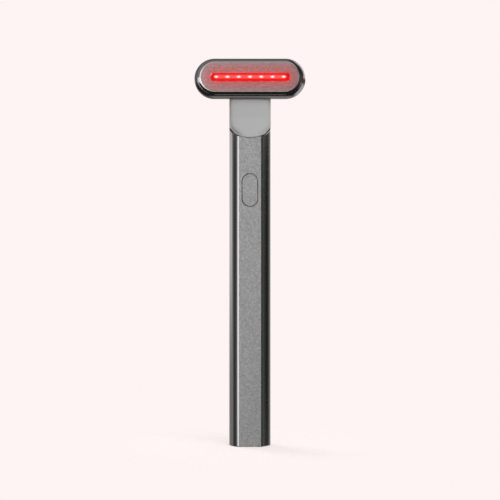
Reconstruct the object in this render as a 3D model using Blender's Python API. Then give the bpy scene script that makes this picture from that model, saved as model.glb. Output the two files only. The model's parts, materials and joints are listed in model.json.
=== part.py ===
"""Red light therapy wand: a T-shaped head on a neck that swivels on a slanted joint above a faceted handle.

Metres, +Z up. The front, with the treatment plate and the button, faces -Y. The handle stands on the origin
along Z. Inside are the lamps, the heater strips and the vibration motor of the head, the hollow swivel post,
and the boards, the switch, the battery and the charging socket of the handle.
"""

from math import atan2, cos, pi, radians, sin, sqrt, tan

import bmesh
import bpy
from mathutils import Matrix, Vector

# Fits that all pieces share
gap = 0.0003
solder_gap = 0.0001
overrun = 0.002
weld_distance = 0.000001

# Steps of round shapes
round_steps = 32
small_steps = 16
end_arc_steps = 16
tube_arc_steps = 40
crease_arc_steps = 4

# Handle tube, a round tube with a flat front facet and a slanted upper end
handle_radius = 0.0083
facet_inset = 0.0015
crease_radius = 0.0014
tube_wall = 0.0012
tube_end_chamfer = 0.0005
seam_above_button = 0.0255
seam_angle = radians(30)

# Neck, round at the slanted seam and a flat-fronted block under the head
neck_side_inset = 0.00005
neck_front_inset = 0.002
neck_levels = 12
neck_section_steps = 48
neck_round_power = 2
neck_flat_power = 7
neck_change_share = 0.5

# Head housing, a long rounded shell that narrows towards its back
head_centre_above_seam = 0.0185
head_half_width = 0.022
head_half_height = 0.00802
head_half_depth = 0.0095
head_front_depth = 0.0085
rim_round_width = 0.0015
rim_round_depth = 0.0022
rim_start_angle = radians(30)
head_back_round = 0.004
head_taper_angle = radians(6)
head_wall = 0.0015
round_levels = 5
rim_levels = 5

# Treatment plate on the head's front, with the long slot for the light
plate_rise = 0.00045
plate_thickness = 0.0007
rim_show_width = 0.0014
rim_show_height = 0.00102
plate_edge_width = 0.0012
plate_edge_levels = 4
skirt_inset = 0.0001
skirt_wall = 0.0008
skirt_length = 0.0029
slot_end_space = 0.0039
slot_half_height = 0.00161

# Light window and lamps
window_fit = 0.0002
window_recess = 0.0003
window_flange = 0.0008
window_flange_rim = 0.0011
led_count = 7
led_end_space = 0.00224
led_width = 0.0026
led_height = 0.0022
led_thickness = 0.0009

# Lamp board, heater strips and the contact pin that feeds the plate
led_board_end_inset = 0.0004
led_board_edge_inset = 0.0001
led_board_thickness = 0.001
heater_end_inset = 0.001
heater_height_share = 0.55
heater_thickness = 0.00025
pin_radius = 0.0005

# Vibration motor
motor_radius = 0.003
motor_length = 0.0105
motor_side_space = 0.005
motor_bore_depth = 0.003
shaft_radius = 0.0005
shaft_reach = 0.0045
weight_radius = 0.0026
weight_length = 0.0033
weight_cut_share = 0.25
sleeve_wall = 0.0008
sleeve_length = 0.008

# Screws that hold the neck to the head
neck_screw_spacing = 0.0105
neck_screw_radius = 0.0008
neck_screw_head_radius = 0.0015
neck_screw_head_height = 0.001
neck_screw_length = 0.0055

# Swivel: a hollow post of the neck turns in a slanted socket of the handle
post_radius = 0.0026
post_bore_radius = 0.0012
post_below_seam = 0.0075
post_in_neck = 0.0045
socket_thickness = 0.0042
swivel_washer_inset = 0.0008
swivel_washer_thickness = 0.0004
wave_washer_radius = 0.0036
wave_washer_thickness = 0.0005
ring_radius = 0.0034
ring_thickness = 0.0008
ring_groove_depth = 0.0005

# Wires
wire_radius = 0.0006
wire_channel_radius = 0.0013
wire_channel_depth = 0.0022
lead_radius = 0.00045
harness_end_straight = 0.0012
harness_bend_drop = 0.0024
wire_steps = 24
wire_sides = 2

# Button in the facet
button_above_board_foot = 0.0262
button_half_width = 0.003
button_half_height = 0.00668
button_flange_rim = 0.0007
button_flange_thickness = 0.0006
button_travel = 0.00025
button_front_recess = 0.00005

# Switch behind the button
switch_size = 0.0045
switch_thickness = 0.0015
plunger_radius = 0.0009
plunger_reach = 0.0009
plunger_depth_in_switch = 0.0008

# Main board, its connector and its two screws
board_thickness = 0.001
board_edge_inset = 0.0011
main_board_above_button = 0.0098
connector_width = 0.0056
connector_height = 0.003
connector_thickness = 0.0025
board_screw_inset = 0.0022
board_screw_radius = 0.0006
board_screw_head_radius = 0.0013
board_screw_head_height = 0.0007
board_screw_length = 0.0032
boss_radius = 0.0017

# Chassis, a half-round tray that carries the boards and the battery
chassis_wall = 0.0009
chassis_front_depth = 0.0012
chassis_rib = 0.0012

# Battery
battery_behind = 0.0006
battery_length = 0.044
battery_space_below = 0.0029
board_space_below = 0.0004
battery_pad_thickness = 0.0005
battery_pad_half_width = 0.003
battery_pad_length = 0.03
lead_spacing = 0.0024

# Charging end
end_cap_height = 0.0055
port_half_width = 0.00447
port_half_thickness = 0.00163
port_depth = 0.0073
port_recess = 0.0005
port_wall = 0.0003
port_tongue_half_width = 0.0033
port_tongue_half_thickness = 0.00035
port_tongue_length = 0.0045
charge_board_length = 0.019

# Places worked out from the sizes above, from the foot upwards and then inside the head
charge_board_bottom = end_cap_height + gap
charge_board_top = charge_board_bottom + charge_board_length
battery_foot_height = charge_board_top + battery_space_below + gap + chassis_rib + gap
battery_top = battery_foot_height + battery_length
main_board_bottom = battery_top + gap + chassis_rib + board_space_below
button_height = main_board_bottom + button_above_board_foot
main_board_top = button_height + main_board_above_button
seam_height = button_height + seam_above_button
head_centre_height = seam_height + head_centre_above_seam
axis = Vector((0, -sin(seam_angle), cos(seam_angle)))
seam_centre = Vector((0, 0, seam_height))
seam_frame = Matrix.Translation(seam_centre) @ Matrix.Rotation(seam_angle, 4, "X")
front_turn = Matrix.Rotation(pi / 2, 4, "X")
seam_reach = handle_radius * tan(seam_angle)
seam_top = seam_height + seam_reach + overrun
socket_foot = seam_height - seam_reach - socket_thickness / cos(seam_angle) - overrun
socket_top = -gap / 2
socket_floor = socket_top - socket_thickness
wave_washer_top = socket_floor - gap
wave_washer_bottom = wave_washer_top - wave_washer_thickness
ring_top = wave_washer_bottom - gap
ring_bottom = ring_top - ring_thickness
groove_radius = post_radius - ring_groove_depth
facet_distance = handle_radius - facet_inset
neck_half_width = handle_radius - neck_side_inset
neck_half_depth = handle_radius - neck_front_inset
bore_inset = tube_wall + gap
bore_facet = facet_distance - tube_wall
swivel_washer_radius = handle_radius - bore_inset - swivel_washer_inset
board_half_width = handle_radius - bore_inset - chassis_wall - board_edge_inset
battery_radius = handle_radius - bore_inset - chassis_wall - gap - battery_behind
plate_height = head_centre_height + plate_rise
plate_flat_half_width = head_half_width - rim_show_width - plate_edge_width
plate_flat_half_height = head_half_height - rim_show_height - plate_edge_width
skirt_half_width = plate_flat_half_width - skirt_inset
skirt_half_height = plate_flat_half_height - skirt_inset
slot_half_width = plate_flat_half_width - slot_end_space
led_pitch = 2 * (slot_half_width - led_end_space) / (led_count - 1)
led_board_half_width = skirt_half_width - led_board_end_inset
led_board_half_height = skirt_half_height - led_board_edge_inset
plate_back = head_front_depth + gap
plate_front = plate_back + plate_thickness
skirt_back = plate_back - skirt_length
window_front = plate_front - window_recess
window_flange_front = plate_back - gap
window_back = window_flange_front - window_flange
led_board_front = skirt_back - gap
led_board_back = led_board_front - led_board_thickness
led_front = led_board_front + solder_gap + led_thickness
cavity_back = head_half_depth - head_wall
motor_behind = cavity_back - gap - sleeve_wall - gap - motor_radius
motor_start_reach = head_half_width - head_wall - motor_side_space
motor_end = Vector((motor_length - motor_start_reach, motor_behind, head_centre_height))
flange_front = bore_facet - gap
flange_back = flange_front - button_flange_thickness
switch_back = flange_back - gap - plunger_reach - switch_thickness
board_front = switch_back - gap
board_back = board_front - board_thickness
charge_board_front = -port_half_thickness - gap


def collection_named(name):
    """A new collection in the scene."""
    collection = bpy.data.collections.new(name)
    bpy.context.scene.collection.children.link(collection)
    return collection


def clear_scene():
    """Removes every object, so the script can be run again in an open file."""
    for leftover in list(bpy.data.objects):
        bpy.data.objects.remove(leftover, do_unlink=True)


clear_scene()
parts = collection_named("red_light_therapy_wand")
cutters = collection_named("cutters")


def material(name, colour, roughness, metallic=0.0):
    """A plain Principled material; the colour is linear red, green and blue."""
    made = bpy.data.materials.new(name)
    made.use_nodes = True
    shader = made.node_tree.nodes["Principled BSDF"]
    shader.inputs["Base Color"].default_value = (*colour, 1)
    shader.inputs["Roughness"].default_value = roughness
    shader.inputs["Metallic"].default_value = metallic
    made.diffuse_color = (*colour, 1)
    return made


gunmetal = material("blasted gunmetal aluminium", (0.16, 0.16, 0.16), 0.35, 1)
polished_gunmetal = material("polished gunmetal aluminium", (0.13, 0.13, 0.13), 0.2, 1)
grained_steel = material("grained stainless steel", (0.42, 0.34, 0.34), 0.4, 1)
light_grey = material("matt light grey paint", (0.4, 0.4, 0.4), 0.6)
red_lens = material("red translucent lens", (0.9, 0.01, 0.01), 0.25)
lamp = material("lamp body", (0.9, 0.85, 0.8), 0.4)
green_board = material("green circuit board", (0.02, 0.16, 0.06), 0.5)
amber_film = material("amber heater film", (0.5, 0.2, 0.03), 0.4)
bright_steel = material("bright steel", (0.55, 0.55, 0.56), 0.25, 1)
brass = material("brass weight", (0.6, 0.45, 0.18), 0.3, 1)
black_rubber = material("black rubber", (0.02, 0.02, 0.02), 0.8)
black_plastic = material("black plastic", (0.03, 0.03, 0.03), 0.5)
white_nylon = material("white nylon", (0.75, 0.75, 0.72), 0.4)
battery_wrap = material("blue battery wrap", (0.03, 0.1, 0.35), 0.35)
red_wire = material("red wire", (0.6, 0.02, 0.02), 0.45)
black_wire = material("black wire", (0.02, 0.02, 0.02), 0.45)
grey_foam = material("grey foam", (0.12, 0.12, 0.12), 0.9)


def add_object(name, mesh, place=None, coat=None):
    """Links a mesh as a named piece, smooth where its faces meet at a small angle."""
    made = bpy.data.objects.new(name, mesh)
    made.matrix_world = place if place else Matrix()
    parts.objects.link(made)
    mesh.shade_smooth()
    mesh.set_sharp_from_angle(angle=radians(30))
    if coat:
        mesh.materials.append(coat)
    return made


def mesh_of(shape, name):
    """Turns an edit shape into a mesh and frees it."""
    mesh = bpy.data.meshes.new(name)
    shape.to_mesh(mesh)
    shape.free()
    return mesh


def block(name, low, high, coat=None):
    """A box between two opposite corners."""
    low = Vector(low)
    high = Vector(high)
    shape = bmesh.new()
    bmesh.ops.create_cube(shape, size=1, matrix=Matrix.Diagonal((*(high - low), 1)))
    return add_object(name, mesh_of(shape, name), Matrix.Translation((low + high) / 2), coat)


def rod(name, radius, start, end, coat=None, steps=round_steps):
    """A cylinder from one point to another."""
    start = Vector(start)
    end = Vector(end)
    along = end - start
    shape = bmesh.new()
    bmesh.ops.create_cone(
        shape, cap_ends=True, segments=steps, radius1=radius, radius2=radius, depth=along.length
    )
    turn = along.to_track_quat("Z", "Y").to_matrix().to_4x4()
    return add_object(name, mesh_of(shape, name), Matrix.Translation((start + end) / 2) @ turn, coat)


def arc(centre, radius, first, last, steps):
    """Points along an arc from its first to its last angle."""
    return [
        (centre[0] + radius * cos(angle), centre[1] + radius * sin(angle))
        for angle in (first + (last - first) * step / steps for step in range(steps + 1))
    ]


def stadium(half_width, half_height):
    """A long outline with half-round ends."""
    reach = half_width - half_height
    right = arc((reach, 0), half_height, -pi / 2, pi / 2, end_arc_steps)
    left = arc((-reach, 0), half_height, pi / 2, 3 * pi / 2, end_arc_steps)
    return right + left


def upright_stadium(half_width, half_height):
    """The same outline with its round ends above and below."""
    return [(-height, width) for width, height in stadium(half_height, half_width)]


def handle_outline(inset):
    """The handle's section, round with a flat front and rounded creases, drawn in by an inset."""
    radius = handle_radius - inset
    facet = facet_distance - inset
    crease = max(crease_radius - inset, 0)
    crease_depth = facet - crease
    crease_place = sqrt((radius - crease) ** 2 - crease_depth**2)
    meeting = atan2(-crease_depth, crease_place)
    outline = arc((0, 0), radius, meeting, pi - meeting, tube_arc_steps)
    if crease > 0:
        left = arc((-crease_place, -crease_depth), crease, pi - meeting, 3 * pi / 2, crease_arc_steps)
        right = arc((crease_place, -crease_depth), crease, -pi / 2, meeting, crease_arc_steps)
        outline += left[1:] + right[:-1]
    return outline


def prism(name, outlines, start, end, place=None, coat=None):
    """Flat outlines drawn out along local Z from start to end; an outline within another one is a hole."""
    curve = bpy.data.curves.new(name, "CURVE")
    curve.dimensions = "2D"
    curve.fill_mode = "BOTH"
    curve.extrude = (end - start) / 2
    for outline in outlines:
        line = curve.splines.new("POLY")
        line.points.add(len(outline) - 1)
        for point, (across, along) in zip(line.points, outline):
            point.co = (across, along, 0, 1)
        line.use_cyclic_u = True
    return from_curve(name, curve, (place or Matrix()) @ Matrix.Translation((0, 0, (start + end) / 2)), coat)


def from_curve(name, curve, place, coat):
    """The mesh of a curve, with its loose caps welded."""
    guide = bpy.data.objects.new(name + "_guide", curve)
    parts.objects.link(guide)
    graph = bpy.context.evaluated_depsgraph_get()
    mesh = bpy.data.meshes.new_from_object(guide.evaluated_get(graph))
    mesh.name = name
    bpy.data.objects.remove(guide)
    shape = bmesh.new()
    shape.from_mesh(mesh)
    bmesh.ops.remove_doubles(shape, verts=shape.verts, dist=weld_distance)
    bmesh.ops.recalc_face_normals(shape, faces=shape.faces)
    shape.to_mesh(mesh)
    shape.free()
    mesh.materials.clear()
    return add_object(name, mesh, place, coat)


def wire(name, route, radius, coat):
    """A round wire along a smooth curve through the points of its route."""
    curve = bpy.data.curves.new(name, "CURVE")
    curve.dimensions = "3D"
    curve.bevel_depth = radius
    curve.bevel_resolution = wire_sides
    curve.use_fill_caps = True
    points = smooth_route([Vector(point) for point in route])
    line = curve.splines.new("POLY")
    line.points.add(len(points) - 1)
    for point, place in zip(line.points, points):
        point.co = (*place, 1)
    return from_curve(name, curve, Matrix(), coat)


def smooth_route(points):
    """Points along a Catmull-Rom curve through the given ones."""
    ends = [2 * points[0] - points[1], *points, 2 * points[-1] - points[-2]]
    spans = len(points) - 1
    steps = wire_steps // spans
    route = []
    for span in range(spans):
        before, first, second, after = ends[span : span + 4]
        for step in range(steps):
            share = step / steps
            route.append(
                (
                    2 * first
                    + (second - before) * share
                    + (2 * before - 5 * first + 4 * second - after) * share**2
                    + (3 * first - before - 3 * second + after) * share**3
                )
                / 2
            )
    return route + [points[-1]]


def loft(name, rings, place=None, coat=None):
    """A closed body through rings that have the same number of points."""
    shape = bmesh.new()
    rows = [[shape.verts.new(point) for point in ring] for ring in rings]
    for row, following in zip(rows, rows[1:]):
        for index in range(len(row)):
            after = (index + 1) % len(row)
            shape.faces.new((row[index], row[after], following[after], following[index]))
    shape.faces.new(rows[0][::-1])
    shape.faces.new(rows[-1])
    bmesh.ops.recalc_face_normals(shape, faces=shape.faces)
    return add_object(name, mesh_of(shape, name), place, coat)


def hide(tool):
    """Keeps a Boolean's tool out of the finished part."""
    tool.hide_render = True
    tool.display_type = "WIRE"
    parts.objects.unlink(tool)
    cutters.objects.link(tool)


def combine(target, operation, tools):
    """Adds one exact Boolean for each tool."""
    for tool in tools:
        step = target.modifiers.new(tool.name, "BOOLEAN")
        step.operation = operation
        step.solver = "EXACT"
        step.object = tool
        if tool.name in parts.objects:
            hide(tool)


def cut(target, *tools):
    combine(target, "DIFFERENCE", tools)


def join(target, *tools):
    combine(target, "UNION", tools)


def along_axis(distance):
    """The point on the swivel's axis this far above the seam."""
    return seam_centre + axis * distance


def axis_rod(name, radius, start, end, coat=None):
    """A cylinder on the swivel's axis, between two distances from the seam."""
    return rod(name, radius, along_axis(start), along_axis(end), coat)


def in_front(depth, height=0.0, across=0.0):
    """A point given by its depth in front of the handle's axis."""
    return Vector((across, -depth, height))


def front_place(height):
    """The place of a prism whose outline faces the front and whose depth counts towards it."""
    return Matrix.Translation((0, 0, height)) @ front_turn


def cut_above_seam(target, level):
    """Removes all that lies above a level, which is counted from the slanted seam."""
    low = Vector((-head_half_width, -head_half_width, level))
    high = Vector((head_half_width, head_half_width, head_half_width))
    tool = block(target.name + "_seam_cutter", low, high)
    tool.matrix_world = seam_frame @ tool.matrix_world
    cut(target, tool)


def handle_tube():
    """The tube, with a chamfer at its foot, a slanted top and the opening for the button."""
    rings = []
    for height, inset in ((0, tube_end_chamfer), (tube_end_chamfer, 0), (seam_top, 0)):
        rings.append([Vector((across, along, height)) for across, along in handle_outline(inset)])
    tube = loft("handle_tube", rings, None, gunmetal)
    cut(tube, prism("tube_bore", [handle_outline(tube_wall)], -overrun, seam_top + overrun))
    cut_above_seam(tube, socket_top)
    opening = upright_stadium(button_half_width + gap, button_half_height + gap)
    place = front_place(button_height)
    window = prism("button_opening", [opening], bore_facet - overrun / 2, facet_distance + overrun, place)
    cut(tube, window)


def swivel_socket():
    """The slanted plug in the tube's upper end that the neck's post turns in."""
    socket = prism("swivel_socket", [handle_outline(bore_inset)], socket_foot, seam_top, None, white_nylon)
    cut_above_seam(socket, socket_top)
    below = block(
        "socket_under_cutter",
        (-head_half_width, -head_half_width, -head_half_width),
        (head_half_width, head_half_width, socket_floor),
    )
    below.matrix_world = seam_frame @ below.matrix_world
    recess_floor = socket_top - swivel_washer_thickness - gap
    recess = axis_rod("socket_recess", swivel_washer_radius + gap, recess_floor, overrun)
    bore = axis_rod("socket_bore", post_radius + gap, socket_floor - overrun, overrun)
    cut(socket, below, recess, bore)


def swivel_washer():
    """The slippery washer between the socket and the neck."""
    bottom = socket_top - swivel_washer_thickness
    washer = axis_rod("swivel_washer", swivel_washer_radius, bottom, socket_top, black_plastic)
    cut(washer, axis_rod("swivel_washer_bore", post_radius + gap, bottom - overrun, overrun))


def wave_washer():
    """The springy washer between the socket and the retaining ring."""
    washer = axis_rod("wave_washer", wave_washer_radius, wave_washer_bottom, wave_washer_top, bright_steel)
    cut(washer, axis_rod("wave_washer_bore", post_radius + gap, wave_washer_bottom - overrun, 0))


def retaining_ring():
    """The ring in the post's groove that keeps the neck on the handle."""
    ring = axis_rod("retaining_ring", ring_radius, ring_bottom, ring_top, bright_steel)
    cut(ring, axis_rod("retaining_ring_bore", groove_radius + solder_gap, ring_bottom - overrun, 0))


def pivot_post():
    """The hollow post of the neck, with a groove for its retaining ring."""
    post = axis_rod("pivot_post", post_radius, -post_below_seam, post_in_neck, bright_steel)
    groove = axis_rod("post_groove", post_radius + overrun, ring_bottom - solder_gap, ring_top + solder_gap)
    core = axis_rod("post_groove_core", groove_radius, -post_below_seam, post_in_neck)
    cut(groove, core)
    bore = axis_rod("post_bore", post_bore_radius, -post_below_seam - overrun, post_in_neck + overrun)
    cut(post, groove, bore)


def power_section(half_width, half_depth, power):
    """A section between an ellipse, at a power of two, and a rounded block, at a high one."""
    section = []
    for step in range(neck_section_steps):
        angle = 2 * pi * (step + 1 / 2) / neck_section_steps
        across = abs(cos(angle)) ** (2 / power) * (1 if cos(angle) > 0 else -1)
        along = abs(sin(angle)) ** (2 / power) * (1 if sin(angle) > 0 else -1)
        section.append((half_width * across, half_depth * along))
    return section


def underside(depth):
    """Height of the head's narrowing underside, this far in front of the handle's axis."""
    front = head_front_depth - rim_round_depth
    return head_centre_height - head_half_height + (front - depth) * tan(head_taper_angle)


def eased(share):
    """A share from nought to one that starts and ends softly."""
    share = min(share, 1)
    return share * share * (3 - 2 * share)


def neck():
    """The shell between the slanted seam and the head, with the holes for its post, wires and screws."""
    rings = []
    for level in range(neck_levels + 1):
        rise = level / neck_levels
        change = eased(rise / neck_change_share)
        width = handle_radius + (neck_half_width - handle_radius) * change
        depth = handle_radius + (neck_half_depth - handle_radius) * change
        power = neck_round_power + (neck_flat_power - neck_round_power) * change
        ring = []
        for across, along in power_section(width, depth, power):
            seam = seam_height - socket_top / cos(seam_angle) + along * tan(seam_angle)
            top = underside(-along) - solder_gap
            ring.append(Vector((across, along, seam + (top - seam) * rise)))
        rings.append(ring)
    shell = loft("neck", rings, None, light_grey)
    socket = axis_rod("neck_post_socket", post_radius + gap, -overrun, post_in_neck + gap)
    cut(shell, socket, wire_channel("neck_channel", along_axis(post_in_neck).z))
    for side in (-1, 1):
        screw = neck_screw_place(side)
        bore = rod(
            f"neck_screw_bore_{side}",
            neck_screw_radius + gap,
            screw - Vector((0, 0, neck_screw_length + gap)),
            screw + Vector((0, 0, overrun)),
            steps=small_steps,
        )
        cut(shell, bore)


def wire_channel(name, foot_height):
    """The upright hole that takes the wires from the neck into the head."""
    foot = in_front(wire_channel_depth, foot_height)
    top = in_front(wire_channel_depth, head_centre_height - head_half_height / 2)
    return rod(name, wire_channel_radius, foot, top, steps=small_steps)


def neck_screw_place(side):
    """Where the underside of a neck screw's head sits, just above the head's floor."""
    floor = underside(-neck_screw_head_radius) + head_wall / cos(head_taper_angle)
    return Vector((side * neck_screw_spacing / 2, 0, floor + gap))


def neck_screws():
    """The two screws that hold the neck under the head."""
    for side, name in ((-1, "neck_screw_left"), (1, "neck_screw_right")):
        place = neck_screw_place(side)
        up = Vector((0, 0, 1))
        head_top = place + up * neck_screw_head_height
        head = rod(name, neck_screw_head_radius, place, head_top, bright_steel, small_steps)
        shank_top = place + up * neck_screw_head_height / 2
        shank_foot = place - up * neck_screw_length
        shank = rod(name + "_shank", neck_screw_radius, shank_foot, shank_top, steps=small_steps)
        join(head, shank)


def head_profile(inset):
    """Depth and inward offset of each ring of the head's shell, from the front rim to the back."""
    front = head_front_depth - rim_round_depth
    back = -head_half_depth
    back_round = head_back_round - inset
    rounding_start = back + head_back_round
    profile = []
    if inset == 0:
        for level in range(rim_levels):
            angle = rim_start_angle + (pi / 2 - rim_start_angle) * level / rim_levels
            depth = front + rim_round_depth * cos(angle) / cos(rim_start_angle)
            offset = rim_round_width * (1 - sin(angle)) / (1 - sin(rim_start_angle))
            profile.append((depth, offset))
    profile.append((front, inset))
    for level in range(round_levels + 1):
        angle = pi / 2 * level / round_levels
        taper = (front - rounding_start) * tan(head_taper_angle)
        depth = rounding_start - back_round * sin(angle)
        profile.append((depth, inset + taper + back_round * (1 - cos(angle))))
    return profile


def head_rings(inset):
    """The rings of the head's shell, or of its cavity when they are drawn in."""
    reach = head_half_width - head_half_height
    rings = []
    for depth, offset in head_profile(inset):
        half_height = head_half_height - offset
        outline = stadium(reach + half_height, half_height)
        rings.append([Vector((across, along, depth)) for across, along in outline])
    return rings


def head_housing():
    """The head's one-piece shell, open at the front for the plate."""
    place = front_place(head_centre_height)
    housing = loft("head_housing", head_rings(0), place, polished_gunmetal)
    cavity = loft("head_cavity", head_rings(head_wall), place)
    opening = prism(
        "head_opening",
        [stadium(skirt_half_width + gap, skirt_half_height + gap)],
        head_front_depth - rim_round_depth - overrun,
        head_front_depth + overrun,
        front_place(plate_height),
    )
    join(cavity, opening)
    below_floor = head_centre_height - head_half_height - overrun
    cut(housing, cavity, wire_channel("housing_channel", below_floor))
    for side in (-1, 1):
        screw = neck_screw_place(side)
        bore = rod(
            f"housing_screw_bore_{side}",
            neck_screw_radius + gap,
            screw - Vector((0, 0, neck_screw_length)),
            screw + Vector((0, 0, gap)),
            steps=small_steps,
        )
        cut(housing, bore)


def treatment_plate():
    """The plate with its rounded polished edge, the slot for the light and a skirt that locates it."""
    rings = []
    for level in range(plate_edge_levels + 1):
        angle = pi / 2 * level / plate_edge_levels
        offset = plate_edge_width * cos(angle)
        depth = plate_back + plate_thickness * sin(angle)
        outline = stadium(plate_flat_half_width + offset, plate_flat_half_height + offset)
        rings.append([Vector((across, along, depth)) for across, along in outline])
    place = front_place(plate_height)
    plate = loft("treatment_plate", rings, place, grained_steel)
    outer = stadium(skirt_half_width, skirt_half_height)
    inner = stadium(skirt_half_width - skirt_wall, skirt_half_height - skirt_wall)
    skirt = prism("plate_skirt", [outer, inner], skirt_back, plate_back + plate_thickness / 2, place)
    slot_outline = stadium(slot_half_width, slot_half_height)
    slot = prism("plate_slot", [slot_outline], plate_back - overrun, plate_front + overrun, place)
    join(plate, skirt)
    cut(plate, slot)


def light_window():
    """The red lens that fills the slot, with a flange behind the plate."""
    place = front_place(plate_height)
    body = stadium(slot_half_width - window_fit, slot_half_height - window_fit)
    flange = stadium(slot_half_width + window_flange_rim, slot_half_height + window_flange_rim)
    window = prism("light_window", [flange], window_back, window_flange_front, place, red_lens)
    join(window, prism("window_body", [body], window_back + window_flange / 2, window_front, place))


def leds():
    """The row of lamps behind the window."""
    for index in range(led_count):
        across = (index - (led_count - 1) / 2) * led_pitch
        block(
            f"red_led_{index + 1}",
            in_front(led_front, plate_height - led_height / 2, across - led_width / 2),
            in_front(led_board_front + solder_gap, plate_height + led_height / 2, across + led_width / 2),
            lamp,
        )


def led_board():
    """The board that closes the head behind the plate and carries the lamps."""
    prism(
        "led_board",
        [stadium(led_board_half_width, led_board_half_height)],
        led_board_back,
        led_board_front,
        front_place(plate_height),
        green_board,
    )


def heater_films():
    """Two thin heater strips behind the plate, above and below the window."""
    start = slot_half_height + window_flange_rim
    end = skirt_half_height - skirt_wall
    half_height = (end - start) * heater_height_share / 2
    half_width = slot_half_width - heater_end_inset
    front = plate_back - gap
    for side, name in ((1, "heater_film_upper"), (-1, "heater_film_lower")):
        middle = plate_height + side * (start + end) / 2
        low = in_front(front, middle - half_height, -half_width)
        high = in_front(front - heater_thickness, middle + half_height, half_width)
        block(name, low, high, amber_film)


def plate_contact_pin():
    """The pin that carries the small treatment current from the board to the plate."""
    across = (slot_half_width + window_flange_rim + skirt_half_width - skirt_wall) / 2
    rod(
        "plate_contact_pin",
        pin_radius,
        in_front(led_board_front + solder_gap, plate_height, across),
        in_front(plate_back - gap, plate_height, across),
        brass,
        small_steps,
    )


def motor():
    """A small can motor in a rubber sleeve, and its shaft."""
    along = Vector((1, 0, 0))
    can_start = motor_end - along * motor_length
    can = rod("motor_can", motor_radius, can_start, motor_end, bright_steel)
    bore_start = motor_end - along * motor_bore_depth
    bore_end = motor_end + along * overrun
    cut(can, rod("motor_bore", shaft_radius + gap, bore_start, bore_end, steps=small_steps))
    shaft_end = motor_end + along * shaft_reach
    rod("motor_shaft", shaft_radius, bore_start + along * gap, shaft_end, bright_steel, small_steps)
    sleeve_start = can_start + along * (motor_length - sleeve_length) / 2
    sleeve_end = sleeve_start + along * sleeve_length
    sleeve = rod("motor_sleeve", motor_radius + gap + sleeve_wall, sleeve_start, sleeve_end, black_rubber)
    hollow_start = sleeve_start - along * overrun
    hollow_end = sleeve_end + along * overrun
    cut(sleeve, rod("sleeve_bore", motor_radius + gap, hollow_start, hollow_end))


def eccentric_weight():
    """The cut-away weight on the motor's shaft that makes the head vibrate."""
    along = Vector((1, 0, 0))
    end = motor_end + along * (shaft_reach - gap)
    start = end - along * weight_length
    weight = rod("eccentric_weight", weight_radius, start, end, brass)
    hole_radius = shaft_radius + solder_gap
    hole = rod("weight_bore", hole_radius, start - along * overrun, end + along * overrun, steps=small_steps)
    flat = start.z + weight_radius * weight_cut_share
    upper = block(
        "weight_cutter",
        (start.x - overrun, start.y - weight_radius - overrun, flat),
        (end.x + overrun, end.y + weight_radius + overrun, flat + weight_radius),
    )
    cut(weight, hole, upper)


def front_button():
    """The flush button, with a flange behind the tube's wall."""
    place = front_place(button_height)
    cap = upright_stadium(button_half_width, button_half_height)
    flange = upright_stadium(button_half_width + button_flange_rim, button_half_height + button_flange_rim)
    button = prism("front_button", [flange], flange_back, flange_front, place, gunmetal)
    front = facet_distance - button_front_recess
    join(button, prism("button_cap", [cap], (flange_back + flange_front) / 2, front, place))


def switch():
    """The push switch on the main board and the plunger that the button pushes."""
    low = in_front(switch_back + switch_thickness, button_height - switch_size / 2, -switch_size / 2)
    high = in_front(switch_back, button_height + switch_size / 2, switch_size / 2)
    body = block("switch_body", low, high, black_plastic)
    floor = switch_back + switch_thickness - plunger_depth_in_switch - button_travel - gap
    bore = rod(
        "switch_bore",
        plunger_radius + gap,
        in_front(floor, button_height),
        in_front(switch_back + switch_thickness + overrun, button_height),
        steps=small_steps,
    )
    cut(body, bore)
    rod(
        "switch_plunger",
        plunger_radius,
        in_front(switch_back + switch_thickness - plunger_depth_in_switch, button_height),
        in_front(flange_back - solder_gap, button_height),
        white_nylon,
        small_steps,
    )


def board_screw_heights():
    """Heights of the main board's lower and upper screws."""
    return (main_board_bottom + board_screw_inset, main_board_top - board_screw_inset)


def main_board():
    """The board behind the button, with two screw holes."""
    board = block(
        "main_board",
        in_front(board_front, main_board_bottom, -board_half_width),
        in_front(board_back, main_board_top, board_half_width),
        green_board,
    )
    for index, height in enumerate(board_screw_heights()):
        hole = rod(
            f"board_hole_{index}",
            board_screw_radius + gap,
            in_front(board_front + overrun, height),
            in_front(board_back - overrun, height),
            steps=small_steps,
        )
        cut(board, hole)


def board_screws():
    """The screws that hold the main board on the chassis."""
    for name, height in zip(("board_screw_lower", "board_screw_upper"), board_screw_heights()):
        seat = board_front + gap
        head = rod(
            name,
            board_screw_head_radius,
            in_front(seat, height),
            in_front(seat + board_screw_head_height, height),
            bright_steel,
            small_steps,
        )
        shank = rod(
            name + "_shank",
            board_screw_radius,
            in_front(seat - board_screw_length, height),
            in_front(seat + board_screw_head_height / 2, height),
            steps=small_steps,
        )
        join(head, shank)


def connector_top():
    """Height of the connector's upper side, just under the upper screw's head."""
    return board_screw_heights()[1] - board_screw_head_radius - gap


def harness_connector():
    """The plug block on the main board that takes the swivel's wires."""
    top = connector_top()
    back = board_front + solder_gap
    block(
        "harness_connector",
        in_front(back + connector_thickness, top - connector_height, -connector_width / 2),
        in_front(back, top, connector_width / 2),
        white_nylon,
    )


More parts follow.
